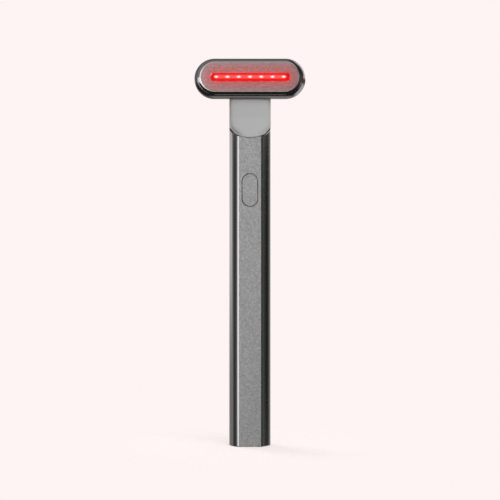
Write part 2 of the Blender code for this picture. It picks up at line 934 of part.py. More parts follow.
def chassis():
    """A half-round tray with bulkheads at the battery's ends and bosses for the main board."""
    foot = charge_board_bottom
    top = main_board_top + gap
    outer = handle_outline(bore_inset)
    inner = handle_outline(bore_inset + chassis_wall)
    tray = prism("chassis", [outer, inner], foot, top, None, black_plastic)
    levels = (battery_foot_height - gap - chassis_rib, battery_top + gap)
    for index, level in enumerate(levels):
        join(tray, prism(f"chassis_bulkhead_{index}", [outer], level, level + chassis_rib))
    boss_back = -(handle_radius - bore_inset - chassis_wall / 2)
    for index, height in enumerate(board_screw_heights()):
        boss = rod(
            f"chassis_boss_{index}",
            boss_radius,
            in_front(board_back - gap, height),
            in_front(boss_back, height),
            steps=small_steps,
        )
        join(tray, boss)
    for index, height in enumerate(board_screw_heights()):
        bore = rod(
            f"chassis_screw_bore_{index}",
            board_screw_radius + gap,
            in_front(board_front - board_screw_length, height),
            in_front(board_front, height),
            steps=small_steps,
        )
        cut(tray, bore)
    front = block(
        "chassis_front_cutter",
        (-handle_radius, -handle_radius, foot - overrun),
        (handle_radius, -chassis_front_depth, top + overrun),
    )
    cut(tray, front)


def battery():
    """The cell on the chassis, and the foam pad that presses it there."""
    foot = in_front(-battery_behind, battery_foot_height)
    rod("battery_cell", battery_radius, foot, in_front(-battery_behind, battery_top), battery_wrap)
    pad_back = battery_radius - battery_behind + gap
    middle = (battery_foot_height + battery_top) / 2
    block(
        "battery_pad",
        in_front(pad_back + battery_pad_thickness, middle - battery_pad_length / 2, -battery_pad_half_width),
        in_front(pad_back, middle + battery_pad_length / 2, battery_pad_half_width),
        grey_foam,
    )


def battery_leads():
    """Two leads from the cell's upper end, over the bulkhead, to the main board's foot."""
    depth = chassis_front_depth + lead_radius + gap
    level = battery_top + gap
    for side, name, coat in ((-1, "battery_lead_minus", black_wire), (1, "battery_lead_plus", red_wire)):
        across = side * lead_spacing / 2
        start = in_front(depth, level, across)
        middle = in_front(depth, level + chassis_rib, across)
        end = in_front((board_front + board_back) / 2, main_board_bottom - gap - lead_radius / 2, across)
        wire(name, [start, middle, end], lead_radius, coat)


def upper_harness():
    """The wires that turn with the head: up the hollow post and the neck to the lamp board."""
    start = along_axis(-post_below_seam)
    in_post = along_axis(-post_below_seam / 2)
    post_end = along_axis(post_in_neck - wire_radius)
    in_channel = in_front(wire_channel_depth, underside(wire_channel_depth))
    in_head = in_channel + Vector((0, 0, head_wall + wire_radius))
    plug_height = plate_height - led_board_half_height / 2
    before_end = in_front(led_board_back - gap - harness_end_straight, plug_height)
    end = in_front(led_board_back - gap, plug_height)
    route = [start, in_post, post_end, in_channel, in_head, before_end, end]
    wire("upper_harness", route, wire_radius, black_wire)


def lower_harness():
    """The wires that stay with the handle: from the main board's plug to the foot of the post."""
    depth = board_front + gap + wire_radius
    beside_screw = board_screw_head_radius + gap + wire_radius
    start = in_front(depth, connector_top() + gap, beside_screw)
    at_board_top = in_front(depth, main_board_top, beside_screw)
    bend = along_axis(-post_below_seam - harness_bend_drop)
    end = along_axis(-post_below_seam - gap)
    wire("lower_harness", [start, at_board_top, bend, end], wire_radius, black_wire)


def charging_end():
    """The end cap, the charging socket in it and the small board that carries the socket."""
    cap = prism("end_cap", [handle_outline(bore_inset)], 0, end_cap_height, None, black_plastic)
    port_hole = prism(
        "port_hole",
        [stadium(port_half_width + gap, port_half_thickness + gap)],
        -overrun,
        end_cap_height + overrun,
    )
    cut(cap, port_hole)
    outer = stadium(port_half_width, port_half_thickness)
    inner = stadium(port_half_width - port_wall, port_half_thickness - port_wall)
    top = port_recess + port_depth
    socket = prism("usb_c_socket", [outer], port_recess, top, None, bright_steel)
    hollow = prism("port_hollow", [inner], -overrun, top - port_wall)
    tongue = block(
        "port_tongue",
        (-port_tongue_half_width, -port_tongue_half_thickness, top - port_wall - port_tongue_length),
        (port_tongue_half_width, port_tongue_half_thickness, top - port_wall / 2),
    )
    cut(socket, hollow)
    join(socket, tongue)
    block(
        "charge_board",
        in_front(charge_board_front, charge_board_bottom, -board_half_width),
        in_front(charge_board_front - board_thickness, charge_board_top, board_half_width),
        green_board,
    )


def joint_empty(name, place, names):
    """An empty on a joint's axis that carries the pieces which move with it."""
    empty = bpy.data.objects.new(name, None)
    empty.matrix_world = place
    parts.objects.link(empty)
    for piece_name in names:
        piece = bpy.data.objects[piece_name]
        piece.parent = empty
        piece.matrix_parent_inverse = place.inverted()
    return empty


handle_tube()
swivel_socket()
swivel_washer()
wave_washer()
retaining_ring()
pivot_post()
neck()
neck_screws()
head_housing()
treatment_plate()
light_window()
leds()
led_board()
heater_films()
plate_contact_pin()
motor()
eccentric_weight()
front_button()
switch()
main_board()
board_screws()
harness_connector()
chassis()
battery()
battery_leads()
upper_harness()
lower_harness()
charging_end()

led_names = [f"red_led_{index + 1}" for index in range(led_count)]
rotor_names = ["motor_shaft", "eccentric_weight"]
head_names = ["neck", "neck_screw_left", "neck_screw_right", "pivot_post", "retaining_ring", "head_housing"]
head_names += ["treatment_plate", "light_window", "led_board", "heater_film_upper", "heater_film_lower"]
head_names += ["plate_contact_pin", "motor_can", "motor_sleeve", "upper_harness"]
swivel_axis = joint_empty("swivel_axis", seam_frame, head_names + led_names)
motor_axis = joint_empty("motor_axis", Matrix.Translation(motor_end), rotor_names)
motor_axis.parent = swivel_axis
motor_axis.matrix_parent_inverse = seam_frame.inverted()
joint_empty("button_axis", Matrix.Translation(in_front(facet_distance, button_height)), ["front_button"])
joint_empty("plunger_axis", Matrix.Translation(in_front(flange_back, button_height)), ["switch_plunger"])
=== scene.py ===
"""Looks of the red light therapy wand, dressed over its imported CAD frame."""

import json
from math import atan2, copysign, cos, exp, pi, radians, sin, sqrt, tan

import bmesh
import bpy
from mathutils import Matrix, Vector


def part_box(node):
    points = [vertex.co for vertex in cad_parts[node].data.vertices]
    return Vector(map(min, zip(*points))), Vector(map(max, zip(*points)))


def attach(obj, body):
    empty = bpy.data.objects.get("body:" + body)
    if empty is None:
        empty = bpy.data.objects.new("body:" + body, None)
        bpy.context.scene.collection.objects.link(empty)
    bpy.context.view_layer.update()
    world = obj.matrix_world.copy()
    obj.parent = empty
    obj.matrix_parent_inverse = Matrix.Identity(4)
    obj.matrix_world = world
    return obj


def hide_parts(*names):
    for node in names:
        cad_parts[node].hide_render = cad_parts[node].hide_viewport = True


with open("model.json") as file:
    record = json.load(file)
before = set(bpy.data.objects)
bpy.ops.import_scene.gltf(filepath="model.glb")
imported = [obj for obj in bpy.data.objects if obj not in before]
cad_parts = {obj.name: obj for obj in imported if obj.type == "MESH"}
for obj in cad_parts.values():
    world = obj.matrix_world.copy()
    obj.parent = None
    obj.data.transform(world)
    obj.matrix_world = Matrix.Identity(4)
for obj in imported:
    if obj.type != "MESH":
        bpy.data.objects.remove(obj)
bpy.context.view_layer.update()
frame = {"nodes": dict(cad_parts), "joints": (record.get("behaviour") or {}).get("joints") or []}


# The view: a portrait lens at the height of the wand's middle looks level at its front. The picture is
# 200 mm wide in the plane of the handle's axis, which is what 0.4 mm a pixel comes to at 500 pixels.
view_width = 0.2
view_distance = 0.596
view_height = 0.0779
sensor_width = 36

scene = bpy.context.scene


def add_object(name, data):
    """Puts a new object with this data into the scene."""
    made = bpy.data.objects.new(name, data)
    scene.collection.objects.link(made)
    return made


camera_data = bpy.data.cameras.new("portrait_lens")
camera_data.sensor_width = sensor_width
camera_data.lens = sensor_width * view_distance / view_width
camera = add_object("camera", camera_data)
camera.location = (0, -view_distance, view_height)
camera.rotation_euler = (radians(90), 0, 0)
scene.camera = camera
scene.view_settings.view_transform = "Standard"


# The studio: a very pale rose surround that the camera sees as it is. Shiny metal also sees a tall softbox at
# the front left, black cloth at its far side and at the right, and the cards below, which draw its edges.
surround_colour = "FEF4F3"
side_fill = 0.34
front_fill = 0.5
softbox_level = 3
front_level = 1.4
# Degrees to the right of the camera's side, and how bright the surround is there, level with the wand.
levels_around = [
    (-180, 1), (-150, 1), (-138, 1.15), (-125, 1.5), (-114, 0.62), (-105, 0.2), (-96, 0.1), (-88, 0.12),
    (-79, 0.35), (-71, 1.3), (-62, 2), (-38, 2.2), (-28, softbox_level), (-12, softbox_level),
    (-5, front_level), (3, front_level), (8, 0.14), (60, 0.14), (78, 0.2), (88, 0.11), (104, 0.04),
    (114, 0.05), (125, 0.16), (138, 0.36), (150, 0.7), (164, 1.1), (180, 1),
]
# Each card's middle in degrees to the right, the cosine of its reach around, its lowest and highest rise
# above level, how softly the rise ends, and how bright it is. Where cards overlap, the later one is seen.
all_round = -1.2
card_side_softness = 0.08
cards = [
    (0, all_round, 0.34, 2, 0.1, 0.4),
    (0, all_round, 0.88, 2, 0.03, 0.19),
    (0, all_round, -2, -0.155, 0.03, 0.03),
    (0, all_round, -2, -0.925, 0.02, 0.85),
    (180, 0, -0.99, -0.8, 0.03, 0.85),
    (130, 0.62, 0.106, 0.8, 0.01, 2.4),
    (180, -0.1, -0.95, -0.25, 0.1, 0.7),
    (117, 0.59, -0.8, -0.165, 0.02, 1.8),
    (-4, 0.98, 0.1, 0.38, 0.01, 0.9),
    (-60, 0.9, 0.1, 0.8, 0.01, 0.28),
    (0, 0.8, 0.38, 0.54, 0.03, 1.15),
    (-112, 0.47, 0.09, 0.95, 0.015, 0.55),
    (-100, 0.4, -0.95, -0.2, 0.1, 0.05),
    (180, -0.1, 0.3, 2, 0.1, 0.5),
    (112, 0.8, 0.25, 0.86, 0.05, 2.3),
    (58, 0.82, 0.24, 0.9, 0.05, 0.06),
    (180, 0.75, -2, -0.3, 0.1, 1),
    (-145, 0.85, -2, -0.04, 0.06, 0.45),
]


def linear(hex_colour):
    """A colour written as sRGB hex, as the linear red, green, blue and alpha that shaders use."""
    channels = [int(hex_colour[at : at + 2], 16) / 255 for at in (0, 2, 4)]
    return [c / 12.92 if c <= 0.04045 else ((c + 0.055) / 1.055) ** 2.4 for c in channels] + [1]


def between(share, first, second):
    """The inputs of a node that mixes two colours, written as sRGB hex, by a share."""
    return {0: share, 6: linear(first), 7: linear(second)}


def span(value, start, end, to_start=0, to_end=1):
    """The inputs of a node that maps one range of a value onto another."""
    return {"Value": value, "From Min": start, "From Max": end, "To Min": to_start, "To Max": to_end}


def add_node(tree, kind, inputs=None, **settings):
    """Adds a node, sets it up, and fills its inputs with values, sockets or the outputs that nodes give."""
    # A kind that doesn't say which nodes it belongs to is a shader node.
    made = tree.nodes.new(kind if "Node" in kind else "ShaderNode" + kind)
    for name, value in settings.items():
        setattr(made, name, value)
    for key, value in (inputs or {}).items():
        if isinstance(value, bpy.types.Node):
            value = next(socket for socket in value.outputs if socket.enabled)
        if isinstance(value, bpy.types.NodeSocket):
            tree.links.new(value, made.inputs[key])
        else:
            made.inputs[key].default_value = value
    return made


world = bpy.data.worlds.new("studio")
scene.world = world
world.use_nodes = True
tree = world.node_tree
tree.nodes.clear()
direction = add_node(tree, "TexCoord").outputs["Generated"]
parts = add_node(tree, "SeparateXYZ", {0: direction})
towards_front = add_node(tree, "Math", {0: parts.outputs["Y"], 1: -1}, operation="MULTIPLY")
azimuth = add_node(tree, "Math", {0: parts.outputs["X"], 1: towards_front}, operation="ARCTAN2")
turn = add_node(tree, "Math", {0: azimuth, 1: 1 / (2 * pi), 2: 0.5}, operation="MULTIPLY_ADD")
level_seen = add_node(tree, "ValToRGB", {0: turn})
stops = level_seen.color_ramp.elements
for _ in levels_around[2:]:
    stops.new(0.5)
for stop, (angle, level) in zip(stops, levels_around):
    stop.position = angle / 360 + 0.5
    stop.color = (level, level, level, 1)
flat = add_node(tree, "VectorMath", {0: direction, 1: (1, 1, 0)}, operation="MULTIPLY")
flat = add_node(tree, "VectorMath", {0: flat}, operation="NORMALIZE")
for middle, reach, lowest, highest, softness, level in cards:
    towards = (sin(radians(middle)), -cos(radians(middle)), 0)
    facing = add_node(tree, "VectorMath", {0: flat, 1: towards}, operation="DOT_PRODUCT")
    within = span(facing, reach - card_side_softness, reach + card_side_softness)
    over = span(parts.outputs["Z"], lowest - softness, lowest + softness)
    under = span(parts.outputs["Z"], highest + softness, highest - softness)
    share = 1
    for limits in (within, over, under):
        limit = add_node(tree, "MapRange", limits, interpolation_type="SMOOTHSTEP")
        share = add_node(tree, "Math", {0: share, 1: limit}, operation="MULTIPLY")
    level_seen = add_node(tree, "Mix", {0: share, 2: level_seen, 3: level})
seen_in_metal = add_node(tree, "Background", {"Color": (1, 1, 1, 1), "Strength": level_seen})
depth_share = add_node(tree, "Math", {0: parts.outputs["Y"]}, operation="ABSOLUTE")
soft_fill = add_node(tree, "Math", {0: depth_share, 1: front_fill, 2: side_fill}, operation="MULTIPLY_ADD")
fill = add_node(tree, "Background", {"Color": (1, 1, 1, 1), "Strength": soft_fill})
surround = add_node(tree, "Background", {"Color": linear(surround_colour), "Strength": 1})
rays = add_node(tree, "LightPath")
lit = add_node(tree, "MixShader", {0: rays.outputs["Is Glossy Ray"], 1: fill, 2: seen_in_metal})
seen_plainly = {0: rays.outputs["Is Camera Ray"], 1: rays.outputs["Is Transmission Ray"]}
seen_plainly = add_node(tree, "Math", seen_plainly, operation="MAXIMUM")
surroundings = add_node(tree, "MixShader", {0: seen_plainly, 1: lit, 2: surround})
add_node(tree, "OutputWorld", {"Surface": surroundings})


def softbox(name, place, size, power):
    """A square soft lamp that looks at the wand's middle and isn't itself seen in the metal."""
    data = bpy.data.lights.new(name, "AREA")
    data.size = size
    data.energy = power
    lamp = add_object(name, data)
    lamp.location = place
    lamp.rotation_euler = (Vector((0, 0, view_height)) - lamp.location).to_track_quat("-Z", "Y").to_euler()
    lamp.visible_glossy = False


softbox("key_softbox", place=(0.4, -0.7, 0.7), size=0.6, power=5.2)
softbox("rear_softbox", place=(-0.6, 0.65, 0.5), size=0.5, power=6.5)


# The floor: pale card under the wand's foot. It fades into the surround close by, so no horizon shows and the
# foot keeps its small shadow. As in the photo, the handle's polished sides don't mirror it.
floor_colour = "F7F0EF"
floor_radius = 0.07
floor_clear_radius = 0.02
floor_strength = 0.32
floor_steps = 96
floor_drop = 0.0001
mottle_size = 0.004


def new_material(name):
    """A new material, its node tree, and the place on the object that its patterns follow."""
    made = bpy.data.materials.new(name)
    made.use_nodes = True
    made.node_tree.nodes.clear()
    place = add_node(made.node_tree, "TexCoord").outputs["Object"]
    return made, made.node_tree, place


def add_mesh(name, shape, coats=()):
    """Turns an edit shape into an object in the scene and gives it its materials."""
    mesh = bpy.data.meshes.new(name)
    shape.to_mesh(mesh)
    shape.free()
    made = add_object(name, mesh)
    for coat in coats:
        mesh.materials.append(coat)
    return made


floor_card, tree, place = new_material("matt pale card")
distance = add_node(tree, "VectorMath", {0: place}, operation="LENGTH")
kept_share = span(distance, floor_radius, floor_clear_radius, 0, floor_strength)
kept_share = add_node(tree, "MapRange", kept_share, interpolation_type="SMOOTHSTEP")
# The pulp of card is mottled over some 4 mm, too faintly to see as more than a plain matt surface.
mottle = add_node(tree, "TexNoise", {"Vector": place, "Scale": 1 / mottle_size, "Detail": 2})
card_roughness = add_node(tree, "MapRange", span(mottle, 0, 1, 0.88, 0.95))
shader = add_node(tree, "BsdfPrincipled", {
    "Base Color": linear(floor_colour),
    "Roughness": card_roughness,
    "Specular IOR Level": 0,
    "Alpha": kept_share,
})
add_node(tree, "OutputMaterial", {"Surface": shader})
shape = bmesh.new()
bmesh.ops.create_circle(shape, cap_ends=True, segments=floor_steps, radius=floor_radius)
bmesh.ops.translate(shape, vec=(0, 0, -floor_drop), verts=shape.verts)
floor = add_mesh("floor", shape, [floor_card])
floor.visible_glossy = False


# The handle tube: a drawn aluminium tube, round behind and at the sides, with one flat facet in front. It is
# polished and anodised gunmetal, then the facet is bead blasted, so it looks even and paler than its sides.
gap = 0.0003
crease_radius = 0.0014
tube_wall = 0.0012
tube_end_chamfer = 0.0002
tube_top_chamfer = 0.00012
edge_round = 0.00012
edge_steps = 3
arc_steps = 96
crease_steps = 12
end_steps = 32
sharp_angle = radians(35)
facet_flatness = 0.999
pit_size = 0.0007
film_share = 0.15
# Of a long outline, a size is its half width and its half height.
button_cap_size = (0.00635, 0.003)

tube_low, tube_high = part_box("handle_tube")
handle_radius = tube_high.x
facet_distance = -tube_low.y
swivel = next(joint for joint in frame["joints"] if joint["name"] == "head_swivel")
seam_height = swivel["pos_m"][2]
seam_angle = atan2(-swivel["axis"][1], swivel["axis"][2])
button_low, button_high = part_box("front_button")
button_height = (button_low.z + button_high.z) / 2


def arc(centre, radius, first, last, steps):
    """Points along an arc from its first to its last angle."""
    return [
        (centre[0] + radius * cos(angle), centre[1] + radius * sin(angle))
        for angle in (first + (last - first) * step / steps for step in range(steps + 1))
    ]


def handle_outline(inset):
    """The handle's section, round with a flat front and rounded creases, drawn in by an inset."""
    radius = handle_radius - inset
    crease = crease_radius - inset
    crease_depth = facet_distance - crease_radius
    crease_place = sqrt((radius - crease) ** 2 - crease_depth**2)
    meeting = atan2(-crease_depth, crease_place)
    outline = arc((0, 0), radius, meeting, pi - meeting, arc_steps)
    left = arc((-crease_place, -crease_depth), crease, pi - meeting, 3 * pi / 2, crease_steps)
    right = arc((crease_place, -crease_depth), crease, -pi / 2, meeting, crease_steps)
    return outline + left[1:] + right[:-1]


def stadium(half_width, half_height):
    """A long outline with half-round ends."""
    reach = half_width - half_height
    right = arc((reach, 0), half_height, -pi / 2, pi / 2, end_steps)
    left = arc((-reach, 0), half_height, pi / 2, 3 * pi / 2, end_steps)
    return right + left


def widened(size, by):
    """A half width and a half height, each wider by this much."""
    return size[0] + by, size[1] + by


def loft(rings, joined=False):
    """An edit shape through rings of as many points each, capped at its ends or joined into a loop."""
    shape = bmesh.new()
    rows = [[shape.verts.new(point) for point in ring] for ring in rings]
    following_rows = rows[1:] + rows[:1] if joined else rows[1:]
    for row, following in zip(rows, following_rows):
        for index in range(len(row)):
            after = (index + 1) % len(row)
            shape.faces.new((row[index], row[after], following[after], following[index]))
    if not joined:
        shape.faces.new(rows[0][::-1])
        shape.faces.new(rows[-1])
    bmesh.ops.recalc_face_normals(shape, faces=shape.faces)
    return shape


def evaluated(made):
    """A plain mesh of an object as its modifiers make it."""
    graph = bpy.context.evaluated_depsgraph_get()
    return bpy.data.meshes.new_from_object(made.evaluated_get(graph), depsgraph=graph)


def baked(made):
    """Turns an object's modifiers into its mesh."""
    mesh = evaluated(made)
    made.modifiers.clear()
    made.data = mesh


def cut(made, shape):
    """Takes an edit shape out of an object."""
    tool = add_mesh("tool", shape)
    step = made.modifiers.new("cut", "BOOLEAN")
    step.operation = "DIFFERENCE"
    step.solver = "EXACT"
    step.object = tool
    baked(made)
    bpy.data.objects.remove(tool)


def smooth_between_edges(made):
    """Shades an object smooth, but for its sharp edges."""
    made.data.shade_smooth()
    made.data.set_sharp_from_angle(angle=sharp_angle)


def finish_edges(made):
    """Rounds the sharp edges a little, as polishing does, and keeps the flats flat to the eye."""
    made.data.shade_smooth()
    bevel = made.modifiers.new("rounded edges", "BEVEL")
    bevel.width = edge_round
    bevel.segments = edge_steps
    bevel.limit_method = "ANGLE"
    bevel.angle_limit = sharp_angle
    bevel.harden_normals = True
    weighted = made.modifiers.new("even flats", "WEIGHTED_NORMAL")
    weighted.keep_sharp = True
    baked(made)


def in_front(outline, height, depth):
    """An outline that faces the front, at a height and a depth before the handle's axis."""
    return [Vector((across, -depth, height + up)) for across, up in outline]


def long_rings(profile, height):
    """Long outlines around one height, each with a half width, a half height and a depth."""
    return [in_front(stadium(wide, high), height, depth) for wide, high, depth in profile]


def upright(outline):
    """An outline turned a quarter, so that its long side stands."""
    return [(-up, across) for across, up in outline]


# Bead-blasted anodised aluminium: fine pits scatter the light evenly, with a slight sparkle. Real pits are
# about 0.05 mm wide. They are drawn at 0.7 mm, so that a pixel can show them.
facet_finish, tree, place = new_material("bead-blasted gunmetal aluminium")
pits = add_node(tree, "TexNoise", {"Vector": place, "Scale": 1 / pit_size, "Detail": 3, "Roughness": 0.7})
sparkle = add_node(tree, "MapRange", span(pits, 0.3, 0.7))
pit_colour = add_node(tree, "Mix", between(sparkle, "929191", "B4B3B3"), data_type="RGBA")
pit_roughness = add_node(tree, "MapRange", span(sparkle, 0, 1, 0.46, 0.36))
pit_depth = add_node(tree, "Bump", {"Height": pits, "Distance": 0.000012, "Strength": 0.5})
shader = add_node(tree, "BsdfPrincipled", {
    "Base Color": pit_colour, "Metallic": 1, "Roughness": pit_roughness, "Normal": pit_depth,
})
add_node(tree, "OutputMaterial", {"Surface": shader})


def polished_metal(name, pale, dark, roughness):
    """A buffed metal: nearly a mirror, with a film that clouds it very slightly every 3 mm or so."""
    coat, tree, place = new_material(name)
    clouds = add_node(tree, "TexNoise", {"Vector": place, "Scale": 1 / 0.003, "Detail": 2})
    colour = add_node(tree, "Mix", between(clouds, dark, pale), data_type="RGBA")
    gloss = span(clouds, 0, 1, roughness * (1 - film_share), roughness * (1 + film_share))
    # Buffing leaves waves about 1.5 mm long, only microns deep, and lines that are finer than a pixel.
    waves = add_node(tree, "TexNoise", {"Vector": place, "Scale": 1 / 0.0015, "Detail": 1})
    shader = add_node(tree, "BsdfPrincipled", {
        "Base Color": colour,
        "Metallic": 1,
        "Roughness": add_node(tree, "MapRange", gloss),
        "Normal": add_node(tree, "Bump", {"Height": waves, "Distance": 0.000002, "Strength": 0.3}),
    })
    add_node(tree, "OutputMaterial", {"Surface": shader})
    return coat


side_finish = polished_metal("polished gunmetal aluminium", "908E8E", "8C8A8A", 0.1)


def tube_top(along):
    """Height of the tube's slanted end at this place along Y."""
    return seam_height - gap / 2 / cos(seam_angle) + along * tan(seam_angle)


rings = [
    [(x, y, 0) for x, y in handle_outline(tube_end_chamfer)],
    [(x, y, tube_end_chamfer) for x, y in handle_outline(0)],
    [(x, y, tube_top(y) - tube_top_chamfer) for x, y in handle_outline(0)],
    [(x, y, tube_top(y)) for x, y in handle_outline(tube_top_chamfer)],
    [(x, y, tube_top(y)) for x, y in handle_outline(tube_wall)],
    [(x, y, 0) for x, y in handle_outline(tube_wall)],
]
tube = add_mesh("handle_shell", loft(rings, joined=True), [side_finish, facet_finish])
opening = upright(stadium(*widened(button_cap_size, gap)))
cut(tube, loft([in_front(opening, button_height, depth) for depth in (crease_radius, handle_radius)]))
for face in tube.data.polygons:
    if face.normal.y < -facet_flatness and face.center.y < tube_wall - facet_distance:
        face.material_index = 1
finish_edges(tube)
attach(tube, "handle")
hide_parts("handle_tube")


# The button: a solid aluminium key, blasted like the facet and flush with it. A flange behind the tube's wall
# keeps it in, and it rests on the push switch.
flange_rim = 0.0007
flange_thickness = 0.0006
flange_size = widened(button_cap_size, flange_rim)
button_profile = [
    (flange_size, -button_high.y),
    (flange_size, flange_thickness - button_high.y),
    (button_cap_size, flange_thickness - button_high.y),
    (button_cap_size, -button_low.y),
]
button_rings = [in_front(upright(stadium(*size)), button_height, depth) for size, depth in button_profile]
button = add_mesh("button_key", loft(button_rings), [facet_finish])
finish_edges(button)
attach(button, "button")
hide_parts("front_button")


# The neck: a zinc casting under matt light grey lacquer, flat fronted below the head and round at the seam.
# It is bored for the swivel's post, the wires and two screws, which the lacquered outside doesn't show. Two
# corners of its foot are relieved in front, which leaves the dark notches at the seam's ends.
neck_side_inset = 0.00005
neck_front_inset = 0.002
neck_round_power = 2
neck_flat_power = 7
neck_change_share = 0.5
neck_levels = 72
corner_relief = 0.0011
corner_relief_height = 0.0012
corner_relief_depth = 0.0033
corner_relief_reach = 0.0014
neck_steps = 192
head_taper_angle = radians(6)
rim_round_depth = 0.0022
seat_gap = 0.00001
screw_radius = 0.0008
channel_radius = 0.0013
channel_depth = 0.0022
post_radius = 0.0026
post_in_neck = 0.0045
overrun = 0.002

neck_half_width = handle_radius - neck_side_inset
neck_half_depth = handle_radius - neck_front_inset
housing_low, housing_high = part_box("head_housing")
head_half_width = housing_high.x
head_centre_height = (housing_low.z + housing_high.z) / 2
head_half_height = (housing_high.z - housing_low.z) / 2
head_front_depth = -housing_low.y
rim_back_depth = head_front_depth - rim_round_depth
seam_centre = Vector(swivel["pos_m"])
swivel_axis = Vector(swivel["axis"])

# Sprayed matt lacquer: even and soft in its sheen, with an orange peel about 0.6 mm wide that barely shows.
matt_lacquer, tree, place = new_material("matt light grey lacquer")
drift = add_node(tree, "TexNoise", {"Vector": place, "Scale": 1 / 0.004, "Detail": 2})
peel = add_node(tree, "TexNoise", {"Vector": place, "Scale": 1 / 0.0006, "Detail": 3})
lacquer = add_node(tree, "Mix", between(drift, "A9A8A8", "ADACAC"), data_type="RGBA")
shader = add_node(tree, "BsdfPrincipled", {
    "Base Color": lacquer,
    "Roughness": add_node(tree, "MapRange", span(drift, 0, 1, 0.5, 0.58)),
    "Specular IOR Level": 0.35,
    "Normal": add_node(tree, "Bump", {"Height": peel, "Distance": 0.000008, "Strength": 0.4}),
})
add_node(tree, "OutputMaterial", {"Surface": shader})


def rod(radius, start, end):
    """An edit shape of a plain cylinder from one point to another."""
    along = Vector(end) - Vector(start)
    shape = bmesh.new()
    size = {"radius1": radius, "radius2": radius, "depth": along.length}
    bmesh.ops.create_cone(shape, cap_ends=True, segments=end_steps, **size)
    middle = Matrix.Translation((Vector(start) + Vector(end)) / 2)
    turned = along.to_track_quat("Z", "Y").to_matrix().to_4x4()
    bmesh.ops.transform(shape, matrix=middle @ turned, verts=shape.verts)
    return shape


def power_section(half_width, half_depth, power, steps):
    """A section between an ellipse, at a power of two, and a rounded block, at a high one."""
    section = []
    for step in range(steps):
        angle = 2 * pi * (step + 1 / 2) / steps
        across = copysign(abs(cos(angle)) ** (2 / power), cos(angle))
        along = copysign(abs(sin(angle)) ** (2 / power), sin(angle))
        section.append((half_width * across, half_depth * along))
    return section


def underside(depth):
    """Height of the head's narrowing underside, this far in front of the handle's axis."""
    return head_centre_height - head_half_height + (rim_back_depth - depth) * tan(head_taper_angle)


neck_rings = []
for level in range(neck_levels + 1):
    share = level / neck_levels
    change = min(share / neck_change_share, 1)
    change = change * change * (3 - 2 * change)
    width = handle_radius + (neck_half_width - handle_radius) * change
    depth = handle_radius + (neck_half_depth - handle_radius) * change
    power = neck_round_power + (neck_flat_power - neck_round_power) * change
    ring = []
    for across, along in power_section(width, depth, power, neck_steps):
        foot = tube_top(along) + gap / cos(seam_angle)
        top = underside(-along) - seat_gap
        height = (top - foot) * share
        at_corner = exp(-(((along + corner_relief_depth) / corner_relief_reach) ** 2))
        relief = corner_relief * at_corner * max(1 - height / corner_relief_height, 0) ** 2
        ring.append((across * (1 - relief / handle_radius), along, foot + height))
    neck_rings.append(ring)
neck = add_mesh("neck_casting", loft(neck_rings), [matt_lacquer])
post_end = seam_centre + swivel_axis * (post_in_neck + gap)
cut(neck, rod(post_radius + gap, seam_centre - swivel_axis * overrun, post_end))
cut(neck, rod(channel_radius, (0, -channel_depth, post_end.z), (0, -channel_depth, head_centre_height)))
screw_places = []
for name in ("neck_screw_left", "neck_screw_right"):
    low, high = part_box(name)
    screw_places.append(((low.x + high.x) / 2, low.z, high.z))
for across, foot, top in screw_places:
    cut(neck, rod(screw_radius + gap, (across, 0, foot - gap), (across, 0, top)))
finish_edges(neck)
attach(neck, "head")
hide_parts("neck")


# The head housing: one deep cup of buffed gunmetal aluminium that narrows towards its rounded back, with a
# rounded rim. Its wall follows one profile all the way round, and its mouth is cut to take the plate's skirt.
rim_round_width = 0.0015
rim_start = radians(30)
head_back_round = 0.004
head_wall = 0.0015
lip_inset = 0.0028
rim_levels = 12
back_levels = 20
skirt_size = (0.0193, 0.0057)
end_flat = 0.00005

plate_low, plate_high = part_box("treatment_plate")
plate_height = (plate_low.z + plate_high.z) / 2
head_back_depth = -housing_high.y


def shell_side(inset):
    """Depth and offset along the tapered side, from the back flat to the front, drawn in by an inset."""
    back_round = head_back_round - inset
    rounding_start = head_back_depth + head_back_round
    taper = (rim_back_depth - rounding_start) * tan(head_taper_angle)
    side = []
    for level in range(back_levels, -1, -1):
        angle = pi / 2 * level / back_levels
        side.append((rounding_start - back_round * sin(angle), inset + taper + back_round * (1 - cos(angle))))
    return side + [(rim_back_depth, inset)]


def growth_tree(name, kinds):
    """A Geometry Nodes tree with inputs of these names and kinds, and the sockets that give them."""
    tree = bpy.data.node_groups.new(name, "GeometryNodeTree")
    for input_name, kind in kinds.items():
        tree.interface.new_socket(input_name, in_out="INPUT", socket_type="NodeSocket" + kind)
    tree.interface.new_socket("Geometry", in_out="OUTPUT", socket_type="NodeSocketGeometry")
    return tree, add_node(tree, "NodeGroupInput").outputs


def grown(made, tree, values):
    """Runs a Geometry Nodes tree on an object with these named values, and returns the plain mesh object."""
    growth = made.modifiers.new("growth", "NODES")
    growth.node_group = tree
    for item in tree.interface.items_tree:
        if item.item_type == "SOCKET" and item.in_out == "INPUT" and item.name in values:
            growth[item.identifier] = values[item.name]
    plain = add_object(made.name.removesuffix("_start"), evaluated(made))
    bpy.data.objects.remove(made)
    return plain


